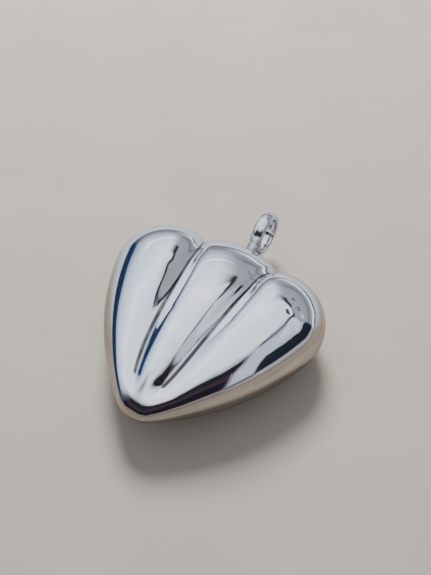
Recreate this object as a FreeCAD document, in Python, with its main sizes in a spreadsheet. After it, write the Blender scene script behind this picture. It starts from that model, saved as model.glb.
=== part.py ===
import FreeCAD, Part
import math
import os

import Sketcher

# A hollow puffed heart pendant, in millimetres, lying on its back.
# X runs across the heart, Y from its tip to its hanging ring, Z up through the front.
# The heart is modelled on its seam plane (z = 0), then every piece is lifted so that the
# back rests on z = 0 and the middle of the whole length stands over the origin.

V = FreeCAD.Vector
doc = FreeCAD.newDocument("puffed_heart_pendant")

# ---------------------------------------------------------------- driving dimensions

DIMENSIONS = [
    ("middle_length", 26.7, "middle lobe: length"),
    ("middle_tip_radius", 4.6, "middle lobe: radius at the tip end"),
    ("middle_top_radius", 8.45, "middle lobe: radius at the top end"),
    ("middle_flank_radius", 30.0, "middle lobe: radius of the flank"),
    ("middle_start", 0.4, "middle lobe: distance of its tip end above the datum"),
    ("middle_flatten", 0.69, "middle lobe: depth over width"),
    ("side_length", 27.5, "side lobe: length"),
    ("side_tip_radius", 1.75, "side lobe: radius at the tip end"),
    ("side_top_radius", 7.1, "side lobe: radius at the top end"),
    ("side_flank_radius", 36.5, "side lobe: radius of the flank"),
    ("side_start_x", 0.42, "side lobe: tip end, distance from the centre plane"),
    ("side_start_y", -0.5, "side lobe: tip end, distance above the datum"),
    ("side_flatten", 0.82, "side lobe: depth over width"),
    ("side_angle", 20.0, "side lobe: lean from the centre plane, degrees"),
    ("rest_flat", 0.25, "back: how much the crest of each lobe is pressed flat"),
    ("wall", 0.45, "shell: thickness of the struck sheet"),
    ("solder_depth", 0.35, "seam solder: depth of the bead, measured inwards"),
    ("solder_gap", 0.06, "seam solder: how far its straight side stands off the curved wall"),
    ("solder_height", 1.4, "seam solder: height of the bead"),
    ("ring_centre_y", 31.3, "ring: centre, distance above the datum"),
    ("ring_hole_radius", 2.15, "ring: radius of the hole"),
    ("ring_outer_radius", 3.05, "ring: outer radius"),
    ("ring_width", 1.7, "ring: width along the hole"),
    ("ring_corner_radius", 0.25, "ring: radius at the edges of the hole"),
    ("ring_side", 0.35, "ring: thickness at its two sides, where the rounded outside begins"),
    ("peg_radius", 0.5, "post: radius of the peg inside the heart"),
    ("peg_length", 1.6, "post: length of the peg below its shoulder"),
    ("post_radius", 0.65, "post: radius of the neck"),
    ("collar_radius", 0.95, "post: radius of the collar under the ring"),
    ("collar_height", 0.7, "post: height of the collar"),
    ("fillet_radius", 0.9, "post solder: radius of the fillet"),
]

sheet = doc.addObject("Spreadsheet::Sheet", "dimensions")
for row, (alias, value, note) in enumerate(DIMENSIONS, start=1):
    sheet.set("A%d" % row, note)
    sheet.set("B%d" % row, str(value))
    sheet.setAlias("B%d" % row, alias)
doc.recompute()


def size(alias):
    """One value from the sheet, in millimetres or degrees."""
    return float(getattr(sheet, alias))


REACH = 50.0          # past every edge of the pendant
HALF_TURN = 180.0

# ---------------------------------------------------------------- helpers

def origin_plane(body, role):
    """The body's own origin plane or axis with this role."""
    for feature in body.Origin.OriginFeatures:
        if feature.Role == role:
            return feature
    raise RuntimeError("no origin feature " + role)


def new_sketch(body, name):
    """An empty sketch on the body's XY plane."""
    sketch = body.newObject("Sketcher::SketchObject", name)
    sketch.AttachmentSupport = [(origin_plane(body, "XY_Plane"), "")]
    sketch.MapMode = "FlatFace"
    return sketch


def constrain(sketch, kind, *numbers, name=None, bind=None):
    """Add a constraint, and bind its value to an expression."""
    index = sketch.addConstraint(Sketcher.Constraint(kind, *numbers))
    if name:
        sketch.renameConstraint(index, name)
        sketch.setExpression("Constraints." + name, bind)


def pin(sketch, geometry, end, x, y):
    """Hold one end of a line or arc at x and y, each a value and the expression behind it."""
    label = "%d_%d" % (geometry, end)
    if x is None:
        constrain(sketch, "PointOnObject", geometry, end, -2)
    else:
        constrain(sketch, "DistanceX", -1, 1, geometry, end, x[0], name="x" + label, bind=x[1])
    constrain(sketch, "DistanceY", -1, 1, geometry, end, y[0], name="y" + label, bind=y[1])


def arc(centre, radius, start, end):
    """An arc in the sketch plane, anticlockwise between two angles in radians."""
    circle = Part.Circle(V(centre[0], centre[1], 0), V(0, 0, 1), radius)
    return Part.ArcOfCircle(circle, start, end)


def egg_profile(length, tip_radius, top_radius, flank_radius):
    """Centre of the flank arc of an egg whose three arcs meet tangentially.

    The flank's centre lies left of the axis, at the far corner of a triangle on the two end
    centres, with sides flank_radius - tip_radius and flank_radius - top_radius.
    """
    top_y = length - top_radius
    to_tip = flank_radius - tip_radius
    to_top = flank_radius - top_radius
    span = top_y - tip_radius
    along = (span ** 2 + to_tip ** 2 - to_top ** 2) / (2 * span)
    return -math.sqrt(to_tip ** 2 - along ** 2), tip_radius + along


def egg_body(prefix, inset):
    """A body turned through half a circle from half an egg, its skin pulled in by the insets."""
    pull = sum(size(alias) for alias in inset)
    less = "".join(" - dimensions." + alias for alias in inset)
    length = size(prefix + "_length")
    tip = size(prefix + "_tip_radius")
    top = size(prefix + "_top_radius")
    flank = size(prefix + "_flank_radius")
    centre_x, centre_y = egg_profile(length, tip, top, flank)
    at_tip = math.atan2(tip - centre_y, -centre_x)
    at_top = math.atan2(length - top - centre_y, -centre_x)

    name = "_".join((prefix, "egg") + inset)
    body = doc.addObject("PartDesign::Body", name)
    sketch = new_sketch(body, name + "_profile")
    tip_arc = sketch.addGeometry(arc((0, tip), tip - pull, -math.pi / 2, at_tip))
    flank_arc = sketch.addGeometry(arc((centre_x, centre_y), flank - pull, at_tip, at_top))
    top_arc = sketch.addGeometry(arc((0, length - top), top - pull, at_top, math.pi / 2))
    axis = sketch.addGeometry(Part.LineSegment(V(0, length - pull, 0), V(0, pull, 0)))
    constrain(sketch, "Tangent", tip_arc, 2, flank_arc, 1)
    constrain(sketch, "Tangent", flank_arc, 2, top_arc, 1)
    constrain(sketch, "Coincident", top_arc, 2, axis, 1)
    constrain(sketch, "Coincident", axis, 2, tip_arc, 1)
    constrain(sketch, "PointOnObject", tip_arc, 3, -2)
    constrain(sketch, "PointOnObject", top_arc, 3, -2)
    constrain(sketch, "PointOnObject", axis, 1, -2)
    constrain(sketch, "PointOnObject", axis, 2, -2)
    start = "dimensions." + prefix
    constrain(sketch, "DistanceY", -1, 1, tip_arc, 3, tip,
              name="tip_centre", bind=start + "_tip_radius")
    constrain(sketch, "DistanceY", -1, 1, top_arc, 3, length - top,
              name="top_centre", bind=start + "_length - " + start + "_top_radius")
    constrain(sketch, "Radius", tip_arc, tip - pull,
              name="tip_radius", bind=start + "_tip_radius" + less)
    constrain(sketch, "Radius", top_arc, top - pull,
              name="top_radius", bind=start + "_top_radius" + less)
    constrain(sketch, "Radius", flank_arc, flank - pull,
              name="flank_radius", bind=start + "_flank_radius" + less)
    turned(body, sketch, name, "V_Axis", HALF_TURN)
    return body


def turned(body, sketch, name, axis, angle=360):
    """Revolve the sketch round one of its own axes."""
    revolution = body.newObject("PartDesign::Revolution", name + "_turned")
    revolution.Profile = sketch
    revolution.ReferenceAxis = (sketch, [axis])
    revolution.Angle = angle
    sketch.Visibility = False
    return revolution


def flattened(name, body, face, factor, place):
    """A copy of the half egg, squeezed along Z, on the back or turned over to the front."""
    squeeze = FreeCAD.Matrix()
    squeeze.A33 = factor
    if face == "front":
        squeeze.rotateY(math.radians(HALF_TURN))
    copy = doc.addObject("Part::Feature", name)
    copy.Shape = body.Shape.transformGeometry(squeeze)
    copy.Placement = place
    return copy


def fused(name, pieces):
    """One union of several objects."""
    union = doc.addObject("Part::MultiFuse", name)
    union.Shapes = pieces
    return union


def pair(kind, name, base, tool):
    """A Part::Cut or Part::Common of two objects."""
    result = doc.addObject("Part::" + kind, name)
    result.Base = base
    result.Tool = tool
    return result


# ---------------------------------------------------------------- the three-lobed heart

def lobe_places():
    """Label, kind and place of the middle lobe and of the two that lean away from it."""
    places = [("middle", "middle", V(0, size("middle_start"), 0), 0)]
    for label, hand in (("left", -1), ("right", 1)):
        foot = V(hand * size("side_start_x"), size("side_start_y"), 0)
        places.append((label, "side", foot, -hand * size("side_angle")))
    return [(label, kind, FreeCAD.Placement(foot, FreeCAD.Rotation(V(0, 0, 1), lean)))
            for label, kind, foot, lean in places]


def half_heart(face, layer, eggs):
    """The union of the three lobes, on one face of the seam plane."""
    name = face + "_" + layer
    return fused(name, [flattened(name + "_" + label, eggs[kind], face,
                                  size(kind + "_flatten"), place)
                        for label, kind, place in lobe_places()])


def heart_plate(layer, eggs):
    """A level plate of the heart's outline, as thick as the solder bead is high."""
    height = size("solder_height")
    plates = []
    for label, kind, place in lobe_places():
        outline = next(face for face in eggs[kind].Shape.Faces
                       if face.Surface.TypeId == "Part::GeomPlane")
        plate = doc.addObject("Part::Feature", layer + "_" + label)
        plate.Shape = outline.extrude(V(0, 0, height))
        plate.Placement = place
        plate.Placement.Base.z = -height / 2
        plates.append(plate)
    return fused(layer, plates)


def egg_pair(inset):
    """The two turned half eggs that share one inset."""
    eggs = {kind: egg_body(kind, inset) for kind in ("middle", "side")}
    doc.recompute()
    return eggs


outside_eggs = egg_pair(())
inside_eggs = egg_pair(("wall",))
hearts = {}
for face in ("front", "back"):
    hearts[face, "outside"] = half_heart(face, "outside", outside_eggs)
    hearts[face, "inside"] = half_heart(face, "inside", inside_eggs)


# ---------------------------------------------------------------- the hanging ring

RING_RISE = "(dimensions.ring_outer_radius - dimensions.ring_hole_radius - dimensions.ring_side)"
RING_DOME = "((dimensions.ring_width / 2) ^ 2 + %s ^ 2) / (2 * %s)" % (RING_RISE, RING_RISE)


def ring_body():
    """A ring turned round the X axis: a flat land inside the hole, a rounded outside."""
    hole = size("ring_hole_radius")
    half = size("ring_width") / 2
    corner = size("ring_corner_radius")
    side = hole + size("ring_side")
    rise = size("ring_outer_radius") - side
    dome = (half ** 2 + rise ** 2) / (2 * rise)
    crown = size("ring_outer_radius") - dome
    swing = math.asin(half / dome)
    body = doc.addObject("PartDesign::Body", "hanging_ring")
    sketch = new_sketch(body, "ring_profile")
    land = sketch.addGeometry(Part.LineSegment(V(corner - half, hole, 0), V(half - corner, hole, 0)))
    right_corner = sketch.addGeometry(arc((half - corner, hole + corner), corner, -math.pi / 2, 0))
    right_side = sketch.addGeometry(Part.LineSegment(V(half, hole + corner, 0), V(half, side, 0)))
    outside = sketch.addGeometry(
        arc((0, crown), dome, math.pi / 2 - swing, math.pi / 2 + swing))
    left_side = sketch.addGeometry(Part.LineSegment(V(-half, side, 0), V(-half, hole + corner, 0)))
    left_corner = sketch.addGeometry(
        arc((corner - half, hole + corner), corner, math.pi, 3 * math.pi / 2))
    chain = [land, right_corner, right_side, outside, left_side, left_corner]
    for first, second in zip(chain, chain[1:] + chain[:1]):
        kind = "Coincident" if outside in (first, second) else "Tangent"
        constrain(sketch, kind, first, 2, second, 1)
    constrain(sketch, "Horizontal", land)
    constrain(sketch, "Vertical", right_side)
    constrain(sketch, "Equal", left_corner, right_corner)
    constrain(sketch, "PointOnObject", outside, 3, -2)
    constrain(sketch, "Radius", right_corner, corner,
              name="corner", bind="dimensions.ring_corner_radius")
    constrain(sketch, "DistanceY", -1, 1, land, 1, hole,
              name="hole", bind="dimensions.ring_hole_radius")
    constrain(sketch, "DistanceX", -1, 1, outside, 1, half,
              name="half_width", bind="dimensions.ring_width / 2")
    constrain(sketch, "DistanceY", -1, 1, outside, 1, side,
              name="side", bind="dimensions.ring_hole_radius + dimensions.ring_side")
    constrain(sketch, "DistanceY", -1, 1, outside, 2, side,
              name="other_side", bind="dimensions.ring_hole_radius + dimensions.ring_side")
    constrain(sketch, "Radius", outside, dome, name="dome", bind=RING_DOME)
    turned(body, sketch, "ring", "H_Axis")
    body.setExpression("Placement.Base.y", "dimensions.ring_centre_y")
    return body


hanging_ring = ring_body()


# ---------------------------------------------------------------- the post and its solder

SHOULDER = "dimensions.middle_start + dimensions.middle_length"
RING_LOW = "dimensions.ring_centre_y - dimensions.ring_outer_radius"
COLLAR_BULGE = ("((dimensions.collar_height / 2) ^ 2"
                " + (dimensions.collar_radius - dimensions.post_radius) ^ 2)"
                " / (2 * (dimensions.collar_radius - dimensions.post_radius))")


def post_body(shoulder):
    """The post, turned round Y: a peg, a shoulder on the heart, a neck and a collar."""
    peg = size("peg_radius")
    neck = size("post_radius")
    collar = size("collar_radius")
    height = size("collar_height")
    ring_low = size("ring_centre_y") - size("ring_outer_radius")
    low = ring_low - height / 2
    bulge = ((height / 2) ** 2 + (collar - neck) ** 2) / (2 * (collar - neck))
    swing = math.asin(height / 2 / bulge)
    top = ring_low + height
    body = doc.addObject("PartDesign::Body", "post_blank")
    sketch = new_sketch(body, "post_profile")
    corners = [V(0, shoulder - size("peg_length"), 0), V(peg, shoulder - size("peg_length"), 0),
               V(peg, shoulder, 0), V(neck, shoulder, 0), V(neck, low, 0)]
    for first, second in zip(corners, corners[1:]):
        sketch.addGeometry(Part.LineSegment(first, second))
    sketch.addGeometry(arc((collar - bulge, low + height / 2), bulge, -swing, swing))
    for first, second in ((V(neck, low + height, 0), V(neck, top, 0)),
                          (V(neck, top, 0), V(0, top, 0)),
                          (V(0, top, 0), corners[0])):
        sketch.addGeometry(Part.LineSegment(first, second))
    count = sketch.GeometryCount
    for index in range(count):
        constrain(sketch, "Coincident", index, 2, (index + 1) % count, 1)

    foot = (shoulder - size("peg_length"), SHOULDER + " - dimensions.peg_length")
    ledge = (shoulder, SHOULDER)
    under = (low, RING_LOW + " - dimensions.collar_height / 2")
    over = (low + height, RING_LOW + " + dimensions.collar_height / 2")
    end = (top, RING_LOW + " + dimensions.collar_height")
    narrow = (peg, "dimensions.peg_radius")
    wide = (neck, "dimensions.post_radius")
    spots = [(None, foot), (narrow, foot), (narrow, ledge), (wide, ledge), (wide, under),
             (wide, over), (wide, end), (None, end)]
    for index, (x, y) in enumerate(spots):
        pin(sketch, index, 1, x, y)
    constrain(sketch, "Radius", 4, bulge, name="collar", bind=COLLAR_BULGE)
    turned(body, sketch, "post", "V_Axis")
    return body


crown_y = size("middle_start") + size("middle_length")
post_blank = post_body(crown_y)
neck_post = pair("Cut", "neck_post", post_blank, hanging_ring)


def solder_body(shoulder):
    """A block turned round the post with a hollow, sagging outside."""
    neck = size("post_radius")
    fillet = size("fillet_radius")
    body = doc.addObject("PartDesign::Body", "solder_blank")
    sketch = new_sketch(body, "solder_profile")
    low = shoulder - fillet
    rim = shoulder - fillet / 10
    foot = V(neck + fillet, rim, 0)
    head = V(neck, rim + fillet, 0)
    sketch.addGeometry(Part.LineSegment(V(0, low, 0), V(neck + fillet, low, 0)))
    sketch.addGeometry(Part.LineSegment(V(neck + fillet, low, 0), foot))
    sketch.addGeometry(arc((neck + fillet, rim + fillet), fillet, math.pi, 3 * math.pi / 2))
    sketch.addGeometry(Part.LineSegment(head, V(0, rim + fillet, 0)))
    sketch.addGeometry(Part.LineSegment(V(0, rim + fillet, 0), V(0, low, 0)))
    for first, end, second, start in ((0, 2, 1, 1), (1, 2, 2, 2), (2, 1, 3, 1), (3, 2, 4, 1),
                                      (4, 2, 0, 1)):
        constrain(sketch, "Coincident", first, end, second, start)
    inside = (neck, "dimensions.post_radius")
    outside = (neck + fillet, "dimensions.post_radius + dimensions.fillet_radius")
    bottom = (low, SHOULDER + " - dimensions.fillet_radius")
    edge = (rim, SHOULDER + " - dimensions.fillet_radius / 10")
    top = (rim + fillet, SHOULDER + " + dimensions.fillet_radius * 9 / 10")
    for geometry, end, x, y in ((0, 1, None, bottom), (1, 1, outside, bottom), (1, 2, outside, edge),
                                (3, 1, inside, top), (4, 1, None, top)):
        pin(sketch, geometry, end, x, y)
    constrain(sketch, "Radius", 2, fillet, name="hollow", bind="dimensions.fillet_radius")
    turned(body, sketch, "solder", "V_Axis")
    return body


solder_blank = solder_body(crown_y)
solder_over_front = pair("Cut", "solder_over_front", solder_blank, hearts["front", "outside"])
solder_on_heart = pair("Cut", "solder_on_heart", solder_over_front, hearts["back", "outside"])
neck_solder = pair("Cut", "neck_solder", solder_on_heart, post_blank)

# ---------------------------------------------------------------- shells and seam solder

def pressed(heart, depth):
    """The heart above a level plane, so that its back ends in small flats."""
    press = doc.addObject("Part::Box", heart.Name + "_press")
    press.Length = press.Width = 2 * REACH
    press.Height = REACH
    press.Placement.Base = V(-REACH, -REACH, -depth)
    return pair("Common", heart.Name + "_pressed", heart, press)


def half_shell(face, outside, inside, name):
    """One struck half: outside less inside, with its half of the hole for the peg."""
    plain = pair("Cut", face + "_plain", outside, inside)
    return pair("Cut", name, plain, post_blank)


front_shell = half_shell("front", hearts["front", "outside"], hearts["front", "inside"],
                         "front_shell")
back_depth = size("side_top_radius") * size("side_flatten") - size("rest_flat")
back_shell = half_shell("back", pressed(hearts["back", "outside"], back_depth),
                        pressed(hearts["back", "inside"], back_depth - size("wall")),
                        "back_shell")

bead_outside = heart_plate("bead_outside", egg_pair(("wall", "solder_gap")))
bead_inside = heart_plate("bead_inside", egg_pair(("wall", "solder_depth")))
bead = pair("Cut", "bead", bead_outside, bead_inside)
seam_solder = pair("Cut", "seam_solder", bead, post_blank)

# ---------------------------------------------------------------- place, check and write

NODES = [front_shell, back_shell, seam_solder, neck_post, neck_solder, hanging_ring]

doc.recompute()
outline = hearts["back", "outside"].Shape.optimalBoundingBox(False)
ring_top_y = size("ring_centre_y") + size("ring_outer_radius")
lift = V(0, -(outline.YMin + ring_top_y) / 2, back_depth)

failed = [item.Name for item in doc.Objects
          if "Invalid" in item.State or "Error" in item.State]
if failed:
    raise RuntimeError("failed objects: " + ", ".join(failed))

os.makedirs("parts", exist_ok=True)
for node in NODES:
    shape = node.Shape.copy()
    shape.translate(lift)
    if shape.isNull() or not shape.isValid() or len(shape.Solids) != 1:
        raise RuntimeError("bad shape: " + node.Label)
    shape.exportStep("parts/%s.step" % node.Label)
    solid = shape.Solids[0]
    print(node.Label, round(solid.Volume, 3), solid.CenterOfMass, shape.BoundBox)
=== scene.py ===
# %% [markdown]
# # A puffed heart pendant in polished silver
# The real pendant is two thin silver sheets, each struck over a die into a three-lobed half heart
# and soldered together round the rim. A cast ring stands on a short post at the top.
# Every piece takes its place from the CAD frame: the seam plane from the seam solder's box,
# the centre line and the ring's height from the ring's box. All lengths are millimetres until
# the last step of each piece, which turns them into metres.

# %% Load the frame
import math

import bmesh
import bpy
import numpy as np
from mathutils import Matrix, Vector


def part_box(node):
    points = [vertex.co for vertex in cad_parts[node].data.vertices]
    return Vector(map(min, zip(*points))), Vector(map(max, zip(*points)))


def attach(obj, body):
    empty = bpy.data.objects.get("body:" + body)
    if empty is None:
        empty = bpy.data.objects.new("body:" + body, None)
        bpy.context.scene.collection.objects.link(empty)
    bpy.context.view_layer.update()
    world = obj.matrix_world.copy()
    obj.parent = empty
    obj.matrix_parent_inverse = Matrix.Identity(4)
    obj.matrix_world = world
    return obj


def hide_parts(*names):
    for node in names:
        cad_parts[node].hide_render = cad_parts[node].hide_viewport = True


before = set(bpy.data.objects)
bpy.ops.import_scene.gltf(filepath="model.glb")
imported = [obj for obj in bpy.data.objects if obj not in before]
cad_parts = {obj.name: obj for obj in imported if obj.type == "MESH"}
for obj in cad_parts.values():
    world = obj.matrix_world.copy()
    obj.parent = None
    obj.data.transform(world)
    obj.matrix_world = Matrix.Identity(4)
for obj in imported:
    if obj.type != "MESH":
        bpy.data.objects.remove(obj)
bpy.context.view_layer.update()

MM = 0.001                         # a millimetre in metres
RING_ABOVE_DATUM = 31.3            # the ring's centre, from the heart's datum near its tip
seam_low, seam_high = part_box("seam_solder")
ring_low, ring_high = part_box("hanging_ring")
SEAM_Z = (seam_low.z + seam_high.z) / 2 / MM
RING_Y = (ring_low.y + ring_high.y) / 2 / MM
DATUM_Y = RING_Y - RING_ABOVE_DATUM
REST_DEPTH = SEAM_Z                # how far below the seam plane the back rests
print("seam plane %.3f mm, ring centre %.3f mm" % (SEAM_Z, RING_Y))

# %% [markdown]
# ## The three lobes as one formula
# Each lobe is an egg: a small round tip, a long shallow flank and a full round top, all meeting
# smoothly. Turned about its own axis and flattened, it gives half of the heart. It could be
# modelled by hand with a subdivided cage. Written as a formula, the height above the seam plane
# can be read anywhere, and so can the exact slope of the metal. On a mirror finish that matters
# more than anything else, because the reflections show the slope and not the height.

# %% Lobe sizes
MIDDLE = dict(length=26.9, tip=4.65, top=9.70, half_width=9.78, flatten=0.598, foot=(0.0, 0.2))
SIDE = dict(length=27.2, tip=1.75, top=6.88, half_width=6.93, flatten=0.843, foot=(0.3, -0.25))
LEAN = math.radians(21.2)          # how far each side lobe leans out from the middle one
print("lobes %.1f and %.1f mm long" % (MIDDLE["length"], SIDE["length"]))

# %% Egg outline
OUTLINE = ("length", "tip", "top", "half_width")


def egg(length, tip, top, half_width):
    """The squared half width of an egg at each distance along its axis."""
    top_centre = length - top
    a = tip - top
    b = 2 * (top_centre * (half_width - tip) - tip * (half_width - top))
    c = ((half_width - top) * half_width ** 2
         - (half_width - tip) * (top_centre ** 2 + half_width ** 2 - top ** 2))
    centre = (-b + math.sqrt(b * b - 4 * a * c)) / (2 * a)
    flank = ((tip - centre) ** 2 + half_width ** 2 - tip ** 2) / (2 * (half_width - tip))
    tip_join = tip + tip * (tip - centre) / (flank - tip)
    top_join = top_centre + top * (top_centre - centre) / (flank - top)

    def squared(s):
        side = half_width - flank + np.sqrt(np.maximum(flank ** 2 - (s - centre) ** 2, 0))
        return np.where(s < tip_join, tip ** 2 - (s - tip) ** 2,
                        np.where(s > top_join, top ** 2 - (s - top_centre) ** 2, side ** 2))
    return squared


middle_egg = egg(*(MIDDLE[size] for size in OUTLINE))
side_egg = egg(*(SIDE[size] for size in OUTLINE))
for label, outline, sizes in (("middle", middle_egg, MIDDLE), ("side", side_egg, SIDE)):
    half_way = math.sqrt(float(outline(sizes["length"] / 2)))
    print("%s egg: %.2f mm wide half way up" % (label, 2 * half_way))

# %% Squared heights of the plain lobes


def middle_square(x, y):
    """The middle lobe's squared height."""
    return MIDDLE["flatten"] ** 2 * (middle_egg(y - MIDDLE["foot"][1]) - x ** 2)


def side_square(x, y, hand):
    """The left (-1) or right (1) lobe's squared height."""
    out = hand * x - SIDE["foot"][0]
    up = y - SIDE["foot"][1]
    along = out * math.sin(LEAN) + up * math.cos(LEAN)
    across = out * math.cos(LEAN) - up * math.sin(LEAN)
    return SIDE["flatten"] ** 2 * (side_egg(along) - across ** 2)


print("middle crest %.2f mm above the seam plane" % (MIDDLE["flatten"] * MIDDLE["half_width"]))

# %% [markdown]
# ## Troughs beside the creases, and the nose
# Where two lobes meet, the die pressed a soft trough with a sharp line at its bottom. Cutting a
# groove with a swept shape would leave two more edges. Here a bell-shaped share of the height is
# taken off both lobes equally, so the crease stays where the two eggs cross and nothing else is
# sharp. Towards the tip the creases fade and the three lobes run together into one round nose.

# %% Troughs and nose
TROUGH_DEPTH = 0.28                # share of the middle lobe's squared height
TROUGH_REACH = 0.26                # how far it spreads, on the same scale
EASE_START, EASE_LENGTH = 13, 9    # where the trough begins to get shallower, and over what length
EASE_SHARE = 0.45                  # how much of its depth it loses by the notch
NOSE_SOFTNESS = 1.2                # how widely the lobes run together at the tip
NOSE_ENDS = (0.8, 3.6)             # where the creases begin to show, and where they are full
LARGEST_POWER = 60                 # keeps every exponential within range


def nose(y):
    """1 at the tip, where the three lobes are one smooth nose, to 0 where the creases are full."""
    share = np.clip((NOSE_ENDS[1] - y) / (NOSE_ENDS[1] - NOSE_ENDS[0]), 0, 1)
    return share * share * (3 - 2 * share)


def middle_crest(y, lowest, least):
    """The middle lobe's squared height along its centre line, kept above a least value."""
    up = np.clip(y - MIDDLE["foot"][1], lowest, None)
    return np.maximum(MIDDLE["flatten"] ** 2 * middle_egg(up), least)


def trough_share(x, y, hand, crest):
    """1 where the middle lobe and one side lobe are level, fading to 0 on both sides."""
    apart = (side_square(x, y, hand) - middle_square(x, y)) / (TROUGH_REACH * crest)
    return np.exp(-np.minimum(apart ** 2, LARGEST_POWER))


def trough(x, y):
    """How much of the squared height the troughs beside the two creases take away."""
    crest = middle_crest(y, lowest=0, least=1e-3)
    taken = sum(TROUGH_DEPTH * crest * trough_share(x, y, hand, crest) for hand in (-1, 1))
    towards_notch = np.clip((y - EASE_START) / EASE_LENGTH, 0, 1)
    return taken * (1 - nose(y)) * (1 - EASE_SHARE * towards_notch ** 2)


print("nose blend at 2 mm: %.2f" % float(nose(2.0)))

# %% [markdown]
# ## The unevenness of struck sheet
# Real sheet is never quite true: it waves by about a hundredth of a millimetre, and a worn
# pendant has a few knocks. Too little to see as shape, it still makes reflections wander. A bump
# texture would do for the look alone. Here it is in the height itself, as a few long waves in
# directions drawn from a fixed seed and some bell-shaped dents, so the mesh carries it too.

# %% Waviness and knocks
FRONT_SEED, BACK_SEED = 11, 12
WAVES = 10
WAVE_LENGTHS = (5.0, 13.0)
WAVE_SIZE = 0.0022                 # of one wave, as a share of the squared height
DINGS = [                          # x, y, radius, depth as a share of the squared height
    (-5.4, 17.2, 0.9, 0.016), (-2.3, 11.9, 0.7, 0.014), (4.9, 14.0, 0.6, 0.012),
    (10.8, 19.0, 0.36, 0.030), (9.8, 19.7, 0.30, 0.024), (11.7, 18.5, 0.34, 0.030),
    (10.2, 18.2, 0.28, 0.018), (11.6, 17.0, 0.40, 0.022), (3.3, 21.3, 0.30, 0.034),
    (4.0, 21.2, 0.26, 0.030), (4.5, 20.9, 0.34, 0.026), (-7.8, 13.4, 0.40, 0.014),
    (0.2, 8.6, 0.35, 0.014), (7.9, 21.9, 0.8, 0.012)]


def waviness(x, y, seed):
    """The slight unevenness of hand-struck sheet, as a share of the squared height."""
    random = np.random.default_rng(seed)
    total = 0
    for wave in range(WAVES):
        turn = random.uniform(0, math.tau)
        length = random.uniform(*WAVE_LENGTHS)
        phase = random.uniform(0, math.tau)
        along = x * math.cos(turn) + y * math.sin(turn)
        total = total + np.sin(along * math.tau / length + phase)
    return 1 + WAVE_SIZE * total


def dings(x, y):
    """What the knocks leave of the squared height."""
    return 1 - sum(depth * np.exp(-((x - dx) ** 2 + (y - dy) ** 2) / radius ** 2)
                   for dx, dy, radius, depth in DINGS)


print("%d waves on each half, %d knocks on the front" % (WAVES, len(DINGS)))

# %% Finished height of one lobe


def lobe_square(x, y, lobe, face):
    """The finished squared height of the middle (0), left (-1) or right (1) lobe."""
    squares = {0: middle_square(x, y), -1: side_square(x, y, -1), 1: side_square(x, y, 1)}
    base = squares.pop(lobe)
    others = sum(np.exp(np.clip((other - base) / NOSE_SOFTNESS, -LARGEST_POWER, LARGEST_POWER))
                 for other in squares.values())
    base = base + nose(y) * NOSE_SOFTNESS * np.log1p(others)
    uneven = waviness(x, y, FRONT_SEED if face > 0 else BACK_SEED)
    if face > 0:
        uneven = uneven * dings(x, y)
    return (base - trough(x, y)) * uneven


print("front, middle lobe, at 15 mm: %.2f mm high" % math.sqrt(float(lobe_square(0.0, 15.0, 0, 1))))

# %% [markdown]
# ## Curves that every half shares
# A crease runs from the tip, up the centre line to a fork, and out to the notch between two lobes.
# The rim is the line where the height comes to nothing. Both are found by halving the interval in
# which the formula changes sign. That is slower than solving by hand, but it works for any
# formula, as long as the interval holds one crossing. Points are packed closer towards the rim and
# the notch, where the metal turns down steeply, so the mesh stays even over the roundest part.

# %% Tip, fork and notch


def root(f, low, high, steps=60):
    """Where f turns from above zero at low to below zero at high, by halving."""
    low = np.array(low, float)
    high = np.array(high, float)
    for step in range(steps):
        middle = (low + high) / 2
        above = f(middle) > 0
        low = np.where(above, middle, low)
        high = np.where(above, high, middle)
    return (low + high) / 2


def crease_x(y):
    """How far from the centre line the crease lies at each height."""
    side_axis = SIDE["foot"][0] + (y - SIDE["foot"][1]) * math.tan(LEAN)
    return root(lambda x: middle_square(x, y) - side_square(x, y, 1), np.zeros_like(y), side_axis)


fork_y = float(root(lambda y: side_square(0 * y, y, 1) - middle_square(0 * y, y), MIDDLE["foot"][1], 3.0))
tip_y = float(root(lambda y: -lobe_square(0 * y, y, 1, 1), -1.5, fork_y))
notch_y = float(root(lambda y: middle_square(crease_x(y), y) - trough(crease_x(y), y), 15.0, 26.0))
notch_x = float(crease_x(np.array(notch_y)))
print("tip %.2f, fork %.2f, notch %.2f, %.2f mm" % (tip_y, fork_y, notch_x, notch_y))

# %% Crease and rim
LOW_ROWS, UP_ROWS = 6, 134         # rows of faces from the tip to the fork, and from there to the notch
SIDE_STEPS, MIDDLE_STEPS = 56, 60  # columns across a side lobe and across the middle one
RIM_POINTS = 3001                  # how finely a rim is traced before it is divided
RIM_REACH = 25                     # further from a lobe's centre than any rim
SIDE_CENTRE_UP = 17.0              # along the side lobe's own axis
MIDDLE_CENTRE = (0.0, 19.0)


def crease_points():
    """The right crease, from the tip to the notch."""
    low = np.arange(LOW_ROWS + 1) / LOW_ROWS
    up = np.sin(np.arange(1, UP_ROWS + 1) / UP_ROWS * math.pi / 2)
    y = np.concatenate([tip_y + (fork_y - tip_y) * low ** 2, fork_y + (notch_y - fork_y) * up])
    x = np.concatenate([np.zeros(LOW_ROWS + 1), crease_x(y[LOW_ROWS + 1:])])
    return np.stack([x, y], 1)


def rim_between(start, end, centre, lobe):
    """A dense run of rim points of one lobe, turning round a centre between two points."""
    first = math.atan2(start[1] - centre[1], start[0] - centre[0])
    last = math.atan2(end[1] - centre[1], end[0] - centre[0])
    if last > first:
        last -= math.tau
    turn = np.linspace(first, last, RIM_POINTS)

    def height(r):
        return lobe_square(centre[0] + r * np.cos(turn), centre[1] + r * np.sin(turn), lobe, 0)

    reach = root(height, 0 * turn, 0 * turn + RIM_REACH)
    points = np.stack([centre[0] + reach * np.cos(turn), centre[1] + reach * np.sin(turn)], 1)
    points[0], points[-1] = start, end
    return points


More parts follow.
